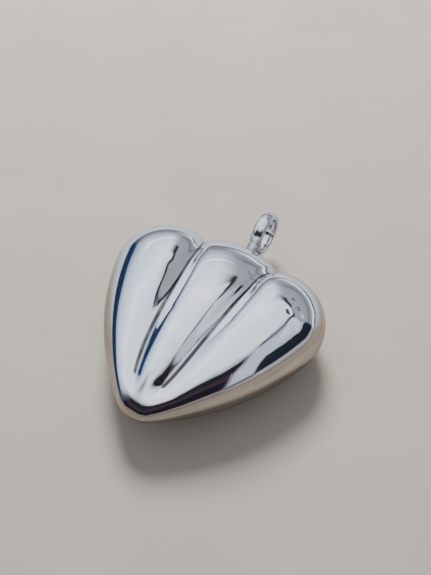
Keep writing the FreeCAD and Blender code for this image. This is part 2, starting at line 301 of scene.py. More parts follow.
def lengths(points):
    """How far along a line each of its points lies."""
    steps = np.linalg.norm(np.diff(points, axis=0), axis=1)
    return np.concatenate([[0], np.cumsum(steps)])


def spread(points, shares):
    """Points at the given shares of a line's length."""
    along = lengths(points)
    return np.stack([np.interp(shares * along[-1], along, points[:, i]) for i in (0, 1)], 1)


crease = crease_points()
crease_run = lengths(crease)
side_centre = (SIDE["foot"][0] + SIDE_CENTRE_UP * math.sin(LEAN),
               SIDE["foot"][1] + SIDE_CENTRE_UP * math.cos(LEAN))
side_rim = rim_between(crease[-1], crease[0], side_centre, 1)[::-1]
side_edge = spread(side_rim, crease_run / crease_run[-1])
middle_rim = rim_between(crease[-1] * (-1, 1), crease[-1], MIDDLE_CENTRE, 0)
across = np.sin(np.linspace(-1, 1, MIDDLE_STEPS + 1) * math.pi / 2)
middle_edge = spread(middle_rim, (across + 1) / 2)
print("rim: side %d points, middle %d points" % (len(side_edge), len(middle_edge)))

# %% [markdown]
# ## The two struck halves
# Each half is made of three patches that share their edges exactly: a side patch from crease to
# rim on the left and on the right, and a middle patch between the creases. The corner normals come
# straight from the formula, one side at a time, so a lobe is as smooth as the real polish and the
# crease stays a clean line. The inside wall is the same mesh, one sheet thickness further in: a
# Solidify modifier could make it too, but these normals would then have to be set again.
# The back has the same shape, and its three crests are worn to small flats where it rests.

# %% Skin height and slope
FLAT_SOFTNESS = 0.05               # how gently a crest turns into its worn flat
SLOPE_STEP = 1e-4                  # the distance over which the slope is read


def outer_height(x, y, lobe, face):
    """Height of the skin from the seam plane; the back is softly limited by its small flats."""
    height = np.sqrt(np.maximum(lobe_square(x, y, lobe, face), 0))
    if face > 0:
        return height
    return -(REST_DEPTH - FLAT_SOFTNESS * np.logaddexp(0, (REST_DEPTH - height) / FLAT_SOFTNESS))


def skin_normals(x, y, lobe, face):
    """Unit normals of the skin, from the slope of the squared height."""
    step = SLOPE_STEP
    gx = (lobe_square(x + step, y, lobe, face) - lobe_square(x - step, y, lobe, face)) / (2 * step)
    gy = (lobe_square(x, y + step, lobe, face) - lobe_square(x, y - step, lobe, face)) / (2 * step)
    height = np.sqrt(np.maximum(lobe_square(x, y, lobe, face), 0))
    if face > 0:
        worn = np.ones_like(height)
    else:
        worn = 1 / (1 + np.exp(-np.clip((REST_DEPTH - height) / FLAT_SOFTNESS, -50, 50)))
    normal = np.stack([-gx * worn, -gy * worn, face * 2 * height], -1)
    return normal / np.linalg.norm(normal, axis=-1, keepdims=True)


back_crest = float(outer_height(0.0, MIDDLE_CENTRE[1], 0, -1))
print("the back's middle crest lies %.3f mm from the seam plane" % back_crest)

# %% Plan of the patches


def side_patch(hand):
    """Plan points of a side lobe, from the crease to the rim."""
    share = np.sin(np.arange(SIDE_STEPS + 1) / SIDE_STEPS * math.pi / 2)[None, :, None]
    plan = crease[:, None, :] + (side_edge - crease)[:, None, :] * share
    return plan * (hand, 1)


def middle_patch():
    """Plan points of the middle lobe, from the fork to its rim."""
    rows = crease[LOW_ROWS:]
    rise = ((rows[:, 1] - fork_y) / (notch_y - fork_y))[:, None]
    notch = crease[-1]
    x = rows[:, :1] * across + rise ** 2 * (middle_edge[:, 0] - across * notch[0])
    y = rows[:, 1:] + rise ** 2 * (middle_edge[:, 1] - notch[1])
    return np.stack([x, y], -1)


print("plan: side %s points, middle %s points" % (side_patch(1).shape[:2], middle_patch().shape[:2]))

# %% Patches of one face


def face_patches(face):
    """Points, normals, trough traces and quads of the three patches, not yet joined."""
    places, normals, troughs, quads = [], [], [], []
    start = 0
    for lobe in (-1, 0, 1):
        plan = middle_patch() if lobe == 0 else side_patch(lobe)
        x, y = plan[..., 0], plan[..., 1]
        z = outer_height(x, y, lobe, face)
        z[-1] = 0
        if lobe != 0:
            z[0] = 0
            z[:, -1] = 0
        places.append(np.stack([x, y, z], -1).reshape(-1, 3))
        normals.append(skin_normals(x, y, lobe, face).reshape(-1, 3))
        share = trough_share(np.abs(x), y, 1, middle_crest(y, lowest=0.3, least=1.0))
        troughs.append(((1 - nose(y)) * share).reshape(-1))
        index = start + np.arange(z.size).reshape(z.shape)
        corners = [index[:-1, :-1], index[1:, :-1], index[1:, 1:], index[:-1, 1:]]
        if (lobe >= 0) == (face > 0):
            corners.reverse()
        quads.append(np.stack(corners, -1).reshape(-1, 4))
        start += z.size
    return [np.concatenate(parts) for parts in (places, normals, troughs, quads)]


print("front patches: %d quads" % len(face_patches(1)[3]))

# %% Joining the patches
WELD_GRID = 1e5                    # points are joined on a grid of this many steps per millimetre


def weld_points(places, normals):
    """Which points stay, which of them each old point becomes, and their mean normals."""
    keys = np.round(places * WELD_GRID).astype(np.int64)
    _, first, weld = np.unique(keys, axis=0, return_index=True, return_inverse=True)
    weld = weld.reshape(-1)
    mean = np.zeros((len(first), 3))
    np.add.at(mean, weld, normals)
    return first, weld, mean / np.linalg.norm(mean, axis=1, keepdims=True)


def weld_faces(quads, weld, normals):
    """The faces on joined points, their corner normals, and the edges that only one face has."""
    loops, corner_normals, open_edges = [], [], {}
    for quad in quads:
        corners, source = [], []
        for old in quad:
            new = int(weld[old])
            if new not in corners:
                corners.append(new)
                source.append(old)
        if len(corners) < 3:
            continue
        loops.append(corners)
        corner_normals.extend(normals[source])
        for a, b in zip(corners, corners[1:] + corners[:1]):
            if (b, a) in open_edges:
                del open_edges[(b, a)]
            else:
                open_edges[(a, b)] = True
    return loops, corner_normals, open_edges


print("points within %g mm are joined" % (1 / WELD_GRID))

# %% Closed sheet
WALL = 0.45                        # thickness of the silver sheet


def new_piece(name, mesh):
    """A mesh as an object at the origin, smooth, with its size printed."""
    piece = bpy.data.objects.new(name, mesh)
    bpy.context.scene.collection.objects.link(piece)
    mesh.polygons.foreach_set("use_smooth", [True] * len(mesh.polygons))
    print("%s: %d vertices, %d faces" % (name, len(mesh.vertices), len(mesh.polygons)))
    return piece


def half_skin(name, face):
    """One struck half as a closed sheet: the skin, its lining and the strip that joins them."""
    places, normals, troughs, quads = face_patches(face)
    first, weld, mean = weld_points(places, normals)
    skin, skin_corners, open_edges = weld_faces(quads, weld, normals)
    points, count = places[first], len(first)

    inner = points - mean * WALL
    inner[np.abs(points[:, 2]) < 1e-6, 2] = 0
    lining = [[corner + count for corner in reversed(corners)] for corners in skin]
    lining_corners = [-mean[corner - count] for corners in lining for corner in corners]
    strips = [[b, a, a + count, b + count] for a, b in open_edges]
    strip_corners = [(0.0, 0.0, -float(face))] * (4 * len(strips))

    mesh = bpy.data.meshes.new(name)
    everything = np.concatenate([points, inner]) + (0, DATUM_Y, SEAM_Z)
    mesh.from_pydata((everything * MM).tolist(), [], skin + lining + strips)
    piece = new_piece(name, mesh)
    trace = mesh.attributes.new("trough", "FLOAT", "POINT")
    on_skin = troughs[first]
    trace.data.foreach_set("value", np.concatenate([on_skin, 0 * on_skin]).astype(np.float32))
    mesh.normals_split_custom_set([tuple(n) for n in skin_corners + lining_corners + strip_corners])
    return piece


front = half_skin("front_half", 1)
back = half_skin("back_half", -1)
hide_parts("front_shell")
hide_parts("back_shell")

# %% [markdown]
# ## Small node trees
# The ring and the solder along the seam both sweep a section along a path, and the finishes are
# built from noise and ramps. All are node trees. The geometry trees have named inputs, so that
# they can be changed by hand, and each result is kept as a plain mesh.

# %% Node helpers


def plug(tree, node, key, value):
    """Link or set an input, named by its number, as i0, or by its label with _ for a space."""
    by_number = key[0] == "i" and key[1:].isdigit()
    socket = node.inputs[int(key[1:]) if by_number else key.replace("_", " ")]
    if isinstance(value, bpy.types.NodeSocket):
        tree.links.new(value, socket)
    else:
        socket.default_value = value


def add_node(tree, kind, settings=None, **inputs):
    """A node with its settings and its inputs."""
    node = tree.nodes.new(kind)
    for key, value in (settings or {}).items():
        setattr(node, key, value)
    for key, value in inputs.items():
        plug(tree, node, key, value)
    return node


print("helpers: plug, add_node")

# %% Geometry trees


class Tree:
    """A geometry node tree under construction, with named inputs."""

    def __init__(self, name, inputs):
        self.group = bpy.data.node_groups.new(name, "GeometryNodeTree")
        sockets = self.group.interface
        sockets.new_socket("Geometry", in_out="OUTPUT", socket_type="NodeSocketGeometry")
        sockets.new_socket("Geometry", in_out="INPUT", socket_type="NodeSocketGeometry")
        self.identifiers = {}
        for label, value in inputs.items():
            is_metal = isinstance(value, bpy.types.Material)
            kind = "NodeSocketMaterial" if is_metal else "NodeSocketFloat"
            socket = sockets.new_socket(label, in_out="INPUT", socket_type=kind)
            self.identifiers[label] = socket.identifier
        self.values = inputs
        self.start = self.group.nodes.new("NodeGroupInput")
        self.end = self.group.nodes.new("NodeGroupOutput")

    def add(self, kind, settings=None, **inputs):
        """A node in this tree."""
        return add_node(self.group, kind, settings, **inputs)

    def value(self, label):
        """One of the tree's own inputs."""
        return self.start.outputs[label]

    def maths(self, operation, *terms):
        """One sum of one or two terms."""
        inputs = {"i%d" % place: term for place, term in enumerate(terms)}
        return self.add("ShaderNodeMath", {"operation": operation}, **inputs).outputs[0]

    def finish(self, socket):
        """Turn the last geometry into metres, make it real, coat it and join it to the output."""
        metres = self.add("GeometryNodeTransform", Geometry=socket, Scale=(MM, MM, MM))
        realised = self.add("GeometryNodeRealizeInstances", Geometry=metres.outputs[0])
        coated = self.add("GeometryNodeSetMaterial", Geometry=realised.outputs[0],
                          Material=self.value("metal"))
        self.group.links.new(coated.outputs[0], self.end.inputs[0])


def mesh_from_tree(tree, name, mesh=None):
    """Run a tree on a mesh and keep its result as a plain object at the origin."""
    carrier = bpy.data.objects.new(name + "_carrier", mesh or bpy.data.meshes.new(name + "_blank"))
    bpy.context.scene.collection.objects.link(carrier)
    modifier = carrier.modifiers.new("tree", "NODES")
    modifier.node_group = tree.group
    for label, value in tree.values.items():
        modifier[tree.identifiers[label]] = value
    bpy.context.view_layer.update()
    evaluated = carrier.evaluated_get(bpy.context.evaluated_depsgraph_get())
    result = bpy.data.meshes.new_from_object(evaluated)
    result.name = name
    bpy.data.objects.remove(carrier)
    return new_piece(name, result)


print("helpers: Tree, mesh_from_tree")

# %% [markdown]
# ## Materials
# Polished silver is a bare metal with a very low roughness. What makes it look real is what breaks
# the mirror: fine polishing hairlines in several directions, faint cloudy smears from handling, and
# dark tarnish left at the bottom of the troughs, where no cloth reaches. All of it comes from noise
# on the piece's own coordinates, so nothing stretches. The troughs are found by the
# trace that the halves carry as an attribute.
# The cast ring is a little softer, with a trace of casting skin. The solder is duller and yellower.

# %% Material helpers


class Shader:
    """A material's node tree with short calls to add and join nodes."""

    def __init__(self, name):
        self.material = bpy.data.materials.new(name)
        self.material.use_nodes = True
        self.tree = self.material.node_tree
        self.surface = self.tree.nodes["Principled BSDF"]
        self.place = self.tree.nodes.new("ShaderNodeTexCoord").outputs["Object"]

    def add(self, kind, settings=None, **inputs):
        """A node in this material."""
        return add_node(self.tree, kind, settings, **inputs)

    def coat(self, socket, key):
        """Drive one input of the surface."""
        self.tree.links.new(socket, self.surface.inputs[key])

    def noise(self, scale, detail=3.0, roughness=0.5, stretch=(1, 1, 1), turn=(0, 0, 0)):
        """Noise at a scale in cycles per metre, stretched and turned."""
        mapped = self.add("ShaderNodeMapping", Vector=self.place, Scale=stretch, Rotation=turn)
        return self.add("ShaderNodeTexNoise", Vector=mapped.outputs[0], Scale=scale,
                        Detail=detail, Roughness=roughness).outputs["Fac"]

    def ramp(self, value, low, high, out_low, out_high):
        """A smooth change from one number to another."""
        return self.add("ShaderNodeMapRange", {"interpolation_type": "SMOOTHSTEP"}, i0=value,
                        i1=low, i2=high, i3=out_low, i4=out_high).outputs[0]

    def maths(self, operation, first, second):
        """One sum of two terms."""
        return self.add("ShaderNodeMath", {"operation": operation}, i0=first, i1=second).outputs[0]

    def blend(self, share, first, second):
        """A mix of two colours."""
        return self.add("ShaderNodeMix", {"data_type": "RGBA"}, i0=share, i6=first,
                        i7=second).outputs[2]

    def bump(self, height, strength, distance):
        """A normal that leans with a height."""
        return self.add("ShaderNodeBump", Height=height, Strength=strength,
                        Distance=distance).outputs[0]


print("helpers: Shader")

# %% Silver finish
LINE_TURNS = (0.25, 1.05, 1.9, 2.65)
CREASE_TARNISH = (0.95, 0.995)     # the trough traces between which tarnish goes from none to full
BUMP_DISTANCE = 0.00001            # metres


def hairlines(shader):
    """Fine polishing lines in four directions, as one height."""
    total = None
    for index, turn in enumerate(LINE_TURNS):
        line = shader.noise(2600, 2.0, 0.6, stretch=(1.0, 0.035, 0.3), turn=(0.2 * index, 0.1, turn))
        sharp = shader.ramp(line, 0.62, 0.74, 0.0, 1.0)
        total = sharp if total is None else shader.maths("ADD", total, sharp)
    return total


def silver(name, tone, shade, roughness, smear, bump, creased=False):
    """A silver finish. tone and shade are its clean and tarnished colours."""
    shader = Shader(name)
    shader.surface.inputs["Metallic"].default_value = 1.0
    cloud = shader.noise(140, 4.0, 0.6)
    speck = shader.noise(2200, 3.0, 0.7)
    tarnish = shader.ramp(cloud, 0.5, 0.75, 0.0, 0.16)
    if creased:
        trace = shader.add("ShaderNodeAttribute", {"attribute_name": "trough"}).outputs["Fac"]
        deep = shader.ramp(trace, *CREASE_TARNISH, 0.0, 1.0)
        patchy = shader.maths("MULTIPLY", deep, shader.ramp(cloud, 0.3, 0.5, 0.7, 1.0))
        tarnish = shader.maths("MAXIMUM", tarnish, patchy)
    shader.coat(shader.blend(tarnish, tone, shade), "Base Color")
    lines = hairlines(shader)
    cloudy_roughness = shader.ramp(cloud, 0.35, 0.75, roughness, roughness + smear)
    line_roughness = shader.maths("MULTIPLY", lines, smear * 0.35)
    shader.coat(shader.maths("ADD", cloudy_roughness, line_roughness), "Roughness")
    scratches = shader.maths("MULTIPLY", lines, -0.35)
    relief = shader.maths("ADD", scratches, shader.maths("MULTIPLY", speck, 0.25))
    shader.coat(shader.bump(relief, bump, BUMP_DISTANCE), "Normal")
    print("%s: roughness from %.2f to %.2f" % (name, roughness, roughness + smear))
    return shader.material


polished = silver("polished_silver", tone=(0.86, 0.87, 0.885, 1), shade=(0.07, 0.065, 0.065, 1),
                  roughness=0.03, smear=0.05, bump=0.35, creased=True)
cast = silver("ring_silver", tone=(0.74, 0.74, 0.76, 1), shade=(0.16, 0.15, 0.15, 1),
              roughness=0.08, smear=0.12, bump=1.0)
solder = silver("silver_solder", tone=(0.80, 0.785, 0.75, 1), shade=(0.34, 0.31, 0.27, 1),
                roughness=0.22, smear=0.18, bump=1.0)
front.data.materials.append(polished)
back.data.materials.append(polished)

# %% [markdown]
# ## The hanging ring
# A thick cast ring whose section is flat inside and round outside. It stands across the heart's
# face, so its hole runs from side to side. A torus would do for a plain ring, but its section can't
# be squared off inside only. The tree sweeps a shaped section round a circle and then moves the
# surface in and out by a few hundredths of a millimetre, as a cast and filed ring is.

# %% Ring sizes
RING = {"hole radius": 2.15, "outer radius": 3.05, "width": 1.7, "roundness outside": 0.95,
        "roundness inside": 0.55, "unevenness": 0.10}
RING_STEPS, SECTION_START_STEPS, SECTION_STEPS = 144, 48, 56
ring_tree = Tree("ring_tree", {**RING, "metal": cast})
thickness = ring_tree.maths("SUBTRACT", ring_tree.value("outer radius"), ring_tree.value("hole radius"))
half_thickness = ring_tree.maths("MULTIPLY", thickness, 0.5)
half_width = ring_tree.maths("MULTIPLY", ring_tree.value("width"), 0.5)
middle_radius = ring_tree.maths("ADD", ring_tree.value("hole radius"), half_thickness)
print("ring: hole %.2f mm, outside %.2f mm" % (2 * RING["hole radius"], 2 * RING["outer radius"]))

# %% Ring section
circle = ring_tree.add("GeometryNodeCurvePrimitiveCircle", Resolution=RING_STEPS, Radius=middle_radius)
section = ring_tree.add("GeometryNodeCurvePrimitiveCircle", Resolution=SECTION_START_STEPS, Radius=1.0)
position = ring_tree.add("GeometryNodeInputPosition").outputs[0]
spot = ring_tree.add("ShaderNodeSeparateXYZ", i0=position)
outside = ring_tree.maths("GREATER_THAN", spot.outputs["X"], 0.0)
inside_power = ring_tree.value("roundness inside")
extra_power = ring_tree.maths("SUBTRACT", ring_tree.value("roundness outside"), inside_power)
power = ring_tree.maths("ADD", inside_power, ring_tree.maths("MULTIPLY", outside, extra_power))


def shaped(axis, half_size):
    """One coordinate of the section, squared off where its power is below one."""
    size_share = ring_tree.maths("POWER", ring_tree.maths("ABSOLUTE", spot.outputs[axis]), power)
    sign = ring_tree.maths("SIGN", spot.outputs[axis])
    return ring_tree.maths("MULTIPLY", ring_tree.maths("MULTIPLY", sign, size_share), half_size)


squared_off = ring_tree.add("ShaderNodeCombineXYZ", X=shaped("X", half_thickness), Y=shaped("Y", half_width))
profile_curve = ring_tree.add("GeometryNodeSetPosition", Geometry=section.outputs[0],
                              Position=squared_off.outputs[0])
fine = ring_tree.add("GeometryNodeResampleCurve", Curve=profile_curve.outputs[0], Count=SECTION_STEPS)
print("section: %d points, %.2f mm thick" % (SECTION_STEPS, RING["outer radius"] - RING["hole radius"]))

# %% Sweep and place the ring
swept = ring_tree.add("GeometryNodeCurveToMesh", Curve=circle.outputs[0], Profile_Curve=fine.outputs[0])
noise = ring_tree.add("ShaderNodeTexNoise", Scale=0.8, Detail=2.0)
centred_noise = ring_tree.maths("SUBTRACT", noise.outputs["Fac"], 0.5)
push = ring_tree.maths("MULTIPLY", centred_noise, ring_tree.value("unevenness"))
normal = ring_tree.add("GeometryNodeInputNormal")
offset = ring_tree.add("ShaderNodeVectorMath", {"operation": "SCALE"}, i0=normal.outputs[0], Scale=push)
moved = ring_tree.add("GeometryNodeSetPosition", Geometry=swept.outputs[0], Offset=offset.outputs[0])
upright = ring_tree.add("GeometryNodeTransform", Geometry=moved.outputs[0],
                        Rotation=(0, math.pi / 2, 0), Translation=(0, RING_Y, SEAM_Z))
ring_tree.finish(upright.outputs[0])
ring = mesh_from_tree(ring_tree, "ring")
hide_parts("hanging_ring")

# %% [markdown]
# ## Solder along the seam
# Hard solder was run inside the rim to join the halves. It can't be seen on the finished pendant,
# because the seam was filed and polished away, but it holds the two sheets together.
# A curve with a bevel object would do too. The tree takes its path straight from the rim's points,
# one sheet and a hair further in, and keeps the flat sides of the band upright.

# %% Path inside the rim
BAND = {"band height": 1.3, "band thickness": 0.35, "edge radius": 0.12}
BAND_GAP = 0.06                    # between the sheet and the solder
BAND_STEPS, EDGE_STEPS = 360, 3
right_side, left_side = side_edge, (side_edge * (-1, 1))[::-1]
rim_loop = np.concatenate([right_side, middle_edge[::-1][1:], left_side[1:]])[:-1]
ahead = np.roll(rim_loop, -1, 0) - np.roll(rim_loop, 1, 0)
inward = np.stack([-ahead[:, 1], ahead[:, 0]], 1) / np.linalg.norm(ahead, axis=1, keepdims=True)
guide_points = rim_loop + inward * (WALL + BAND_GAP + BAND["band thickness"] / 2)
guide = bpy.data.meshes.new("rim_guide")
guide.from_pydata([(x, y + DATUM_Y, SEAM_Z) for x, y in guide_points],
                  [(i, (i + 1) % len(guide_points)) for i in range(len(guide_points))], [])
print("path inside the rim: %.1f mm round" % lengths(np.concatenate([guide_points, guide_points[:1]]))[-1])

# %% Sweep the solder
band_tree = Tree("seam_tree", {**BAND, "metal": solder})
path = band_tree.add("GeometryNodeMeshToCurve", Mesh=band_tree.value("Geometry"))
even = band_tree.add("GeometryNodeResampleCurve", Curve=path.outputs[0], Count=BAND_STEPS)
level_path = band_tree.add("GeometryNodeSetCurveNormal", {"mode": "Z_UP"}, Curve=even.outputs[0])
strip = band_tree.add("GeometryNodeCurvePrimitiveQuadrilateral", Width=band_tree.value("band thickness"),
                      Height=band_tree.value("band height"))
eased = band_tree.add("GeometryNodeFilletCurve", {"mode": "POLY"}, Curve=strip.outputs[0],
                      Radius=band_tree.value("edge radius"), Count=EDGE_STEPS)
band = band_tree.add("GeometryNodeCurveToMesh", Curve=level_path.outputs[0],
                     Profile_Curve=eased.outputs[0])
band_tree.finish(band.outputs[0])
seam = mesh_from_tree(band_tree, "seam_band", guide)
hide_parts("seam_solder")

# %% [markdown]
# ## The post and its solder
# The ring stands on a short turned post with a rounded collar, and the post's peg goes down into
# the heart. Where the post meets the polished skin there is a small skirt of solder: it climbs the
# post in a hollow curve and thins out on the lobe, a little unevenly, as flowed metal does.
# Both are rings of points joined into a tube. A Screw modifier would make the post too, but not the
# skirt, whose foot has to follow the lobe.

# %% Closed lathe
ROUND = 64
round_turn = np.arange(ROUND) / ROUND * math.tau


def closed_lathe(name, rings, poles, metal):
    """A closed mesh from rings of points, with a pole at each end."""
    points = np.concatenate(rings + [np.array(poles)])
    first_pole, last_pole = len(points) - 2, len(points) - 1
    last = (len(rings) - 1) * ROUND
    faces = []
    for step in range(ROUND):
        after = (step + 1) % ROUND
        for low in range(0, last, ROUND):
            faces.append([low + step, low + after, low + after + ROUND, low + step + ROUND])
        faces.append([after, step, first_pole])
        faces.append([last + step, last + after, last_pole])
    mesh = bpy.data.meshes.new(name)
    mesh.from_pydata(((points + (0, DATUM_Y, SEAM_Z)) * MM).tolist(), [], faces)
    mesh.materials.append(metal)
    shape = bmesh.new()
    shape.from_mesh(mesh)
    bmesh.ops.recalc_face_normals(shape, faces=shape.faces)
    shape.to_mesh(mesh)
    shape.free()
    return new_piece(name, mesh)


print("helpers: closed_lathe, %d points to a ring" % ROUND)

# %% Build the post
PEG_RADIUS, POST_RADIUS = 0.5, 0.65
PEG_LENGTH = 1.5                   # below the crown of the middle lobe
COLLAR_BULGE, COLLAR_LENGTH = 0.3, 0.7
crown = MIDDLE["foot"][1] + MIDDLE["length"]
collar_y = RING_ABOVE_DATUM - RING["outer radius"]
profile = [(PEG_RADIUS - 0.04, crown - PEG_LENGTH - 0.05), (PEG_RADIUS, crown - PEG_LENGTH),
           (PEG_RADIUS, crown - 0.3), (POST_RADIUS, crown - 0.2)]
profile += [(POST_RADIUS, y) for y in np.linspace(crown, collar_y - 0.38, 5)]
for share in np.linspace(0, 1, 13):
    profile.append((POST_RADIUS + COLLAR_BULGE * math.sin(share * math.pi),
                    collar_y + COLLAR_LENGTH * (share - 0.5)))
profile += [(POST_RADIUS - 0.05, collar_y + 0.42), (PEG_RADIUS, collar_y + 0.5)]
post_rings = [np.stack([r * np.cos(round_turn), np.full(ROUND, y), r * np.sin(round_turn)], 1)
              for r, y in profile]
post_poles = [(0, profile[0][1], 0), (0, profile[-1][1], 0)]
post = closed_lathe("post", post_rings, post_poles, cast)
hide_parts("neck_post")

# %% Build the solder skirt
SKIRT_START = 0.655                # just outside the post
SKIRT_REACH, SKIRT_CLIMB = 0.92, 0.74
SKIRT_SINK = 0.03                  # how far its edge dips under the skin
SKIRT_DEPTH = 0.12                 # how far its underside lies below that edge
top_centre = crown - MIDDLE["top"]
lumps = 1 + 0.10 * np.sin(3 * round_turn + 0.7) + 0.07 * np.sin(5 * round_turn + 2.1)
skirt_rings = []
for share in np.linspace(0, 1, 15):
    angle = share * math.pi / 2
    reach = SKIRT_START + SKIRT_REACH * lumps * (1 - math.cos(angle))
    rise = SKIRT_CLIMB * lumps * (1 - math.sin(angle)) - SKIRT_SINK * share
    x, z = reach * np.cos(round_turn), reach * np.sin(round_turn)
    skin = top_centre + np.sqrt(MIDDLE["top"] ** 2 - x ** 2 - (z / MIDDLE["flatten"]) ** 2)
    skirt_rings.append(np.stack([x, skin + rise, z], 1))
skirt_rings.append(skirt_rings[-1] * (0.8, 1, 0.8) - (0, SKIRT_DEPTH, 0))
skirt_poles = [(0, float(skirt_rings[0][:, 1].mean()), 0), (0, crown - 0.35, 0)]
skirt = closed_lathe("solder_skirt", skirt_rings, skirt_poles, solder)
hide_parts("neck_solder")

# %% [markdown]
# ## Bodies and finishes
# Nothing on this pendant moves: the ring is soldered to its post and the post to the heart. So
# every piece rides on the one root body. Joining them into one mesh would be shorter, but then no
# finish could be changed by itself. Each piece keeps the material it was given when it was built.

# %% Ride on the root body
for piece, finish in ((front, "polished_silver"), (back, "polished_silver"), (ring, "ring_silver"),
                      (post, "ring_silver"), (skirt, "silver_solder"), (seam, "silver_solder")):
    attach(piece, "root")
    print("%s wears %s" % (piece.name, finish))

# %% [markdown]
# ## Floor
# The pendant lies on a plain pale floor, a single face. A mirror shows the floor as well, and on a
# warm table its underside would look warm. A coloured floor would spoil the plain view, so only
# rays that come from a mirror see the floor's other colours. Near the pendant they see a dark warm tan, the
# table's warmth with painted shade in it. Further away on the far side they see a cool blue-grey, a painted
# reflection of the bright room in the floor.

# %% Build the floor
FLOOR_HALF = 0.6                   # metres
# Along this way the floor seen in the metal turns from painted shade to a painted cool reflection.
PAINTED_REFLECTION_AXIS = (-0.40, 0.92, 0)        # the way in which the floor's reflection turns cooler
floor_mesh = bpy.data.meshes.new("floor")
corners = [(FLOOR_HALF * x, FLOOR_HALF * y, 0) for x, y in ((-1, -1), (1, -1), (1, 1), (-1, 1))]
floor_mesh.from_pydata(corners, [], [(0, 1, 2, 3)])
floor = bpy.data.objects.new("floor", floor_mesh)
bpy.context.scene.collection.objects.link(floor)
floor_shader = Shader("pale_floor")
grain = floor_shader.ramp(floor_shader.noise(60, 3.0, 0.5), 0.3, 0.7, 0.0, 1.0)
pale = floor_shader.blend(grain, (0.48, 0.44, 0.385, 1), (0.51, 0.465, 0.41, 1))
# Painted shade: the darker warm tan that only the metal shows, the table's colour darkened as if by the
# pendant's shadow.
mirrored_table_with_painted_shade = floor_shader.blend(grain, (0.21, 0.165, 0.125, 1), (0.30, 0.245, 0.19, 1))
far_way = floor_shader.add("ShaderNodeVectorMath", {"operation": "DOT_PRODUCT"},
                           i0=floor_shader.place, i1=PAINTED_REFLECTION_AXIS).outputs["Value"]
# Painted reflection: towards the far side the floor in the metal turns cool blue-grey, as if the room's
# light shone on it.
painted_reflection_share = floor_shader.ramp(far_way, 0.004, 0.030, 0.0, 1.0)
painted_shade_to_reflection = floor_shader.blend(painted_reflection_share, mirrored_table_with_painted_shade, (0.40, 0.45, 0.53, 1))
mirrored = floor_shader.add("ShaderNodeLightPath").outputs["Is Glossy Ray"]
floor_shader.coat(floor_shader.blend(mirrored, pale, painted_shade_to_reflection), "Base Color")
floor_shader.surface.inputs["Roughness"].default_value = 0.6
floor_mesh.materials.append(floor_shader.material)
print("floor %.1f m across" % (2 * FLOOR_HALF))

# %% [markdown]
# ## Room light
# A mirror shows the room, so the light is most of the look. Modelled walls and softboxes would
# do. A painted world is lighter and quicker to change: its colour is a ramp on the height of each
# direction, with a ramp of its own for each side. The room is bright and cool overhead and dark
# low down, with a dark panel near the right.
# Noise sways the edges a little, because a real room has no straight bands.

# %% World helpers
world = bpy.data.worlds.new("soft_room")
bpy.context.scene.world = world
world.use_nodes = True
room = world.node_tree
backdrop = room.nodes["Background"]


def facing(axis):
    """How far a direction points along an axis, from -1 to 1."""
    return add_node(room, "ShaderNodeVectorMath", {"operation": "DOT_PRODUCT"}, i0=direction,
                    i1=axis).outputs["Value"]


def stops(value, points):
    """A colour ramp from (place, colour) pairs."""
    node = add_node(room, "ShaderNodeValToRGB", i0=value)
    ramp = node.color_ramp
    ramp.interpolation = "EASE"
    while len(ramp.elements) < len(points):
        ramp.elements.new(0.5)
    for element, (place, colour) in zip(ramp.elements, points):
        element.position = place
        element.color = (*colour, 1)
    return node.outputs[0]


def smooth(value, low, high):
    """A smooth change from 0 at low to 1 at high."""
    return add_node(room, "ShaderNodeMapRange", {"interpolation_type": "SMOOTHSTEP"}, i0=value,
                    i1=low, i2=high, i3=0.0, i4=1.0).outputs[0]


def mixed(share, first, second):
    """A mix of two colours."""
    return add_node(room, "ShaderNodeMix", {"data_type": "RGBA"}, i0=share, i6=first,
                    i7=second).outputs[2]


print("helpers: facing, stops, smooth, mixed")

# %% Directions in the room
CAMERA_TURN = math.radians(31.56)  # how far the view is turned from straight up the heart
SWAY = 0.16
straight = room.nodes.new("ShaderNodeTexCoord").outputs["Generated"]
cloudy = add_node(room, "ShaderNodeTexNoise", i0=straight, i2=2.2, i3=2.0)
centred = add_node(room, "ShaderNodeVectorMath", {"operation": "SUBTRACT"}, i0=cloudy.outputs["Color"],
                   i1=(0.5, 0.5, 0.5))
swayed = add_node(room, "ShaderNodeVectorMath", {"operation": "SCALE"}, i0=centred.outputs[0], Scale=SWAY)
direction = add_node(room, "ShaderNodeVectorMath", {"operation": "ADD"}, i0=straight,
                     i1=swayed.outputs[0]).outputs[0]
height = facing((0, 0, 1))
rightward = facing((math.cos(CAMERA_TURN), math.sin(CAMERA_TURN), 0))
away = facing((-math.sin(CAMERA_TURN), math.cos(CAMERA_TURN), 0))
print("room turned %.2f degrees" % math.degrees(CAMERA_TURN))

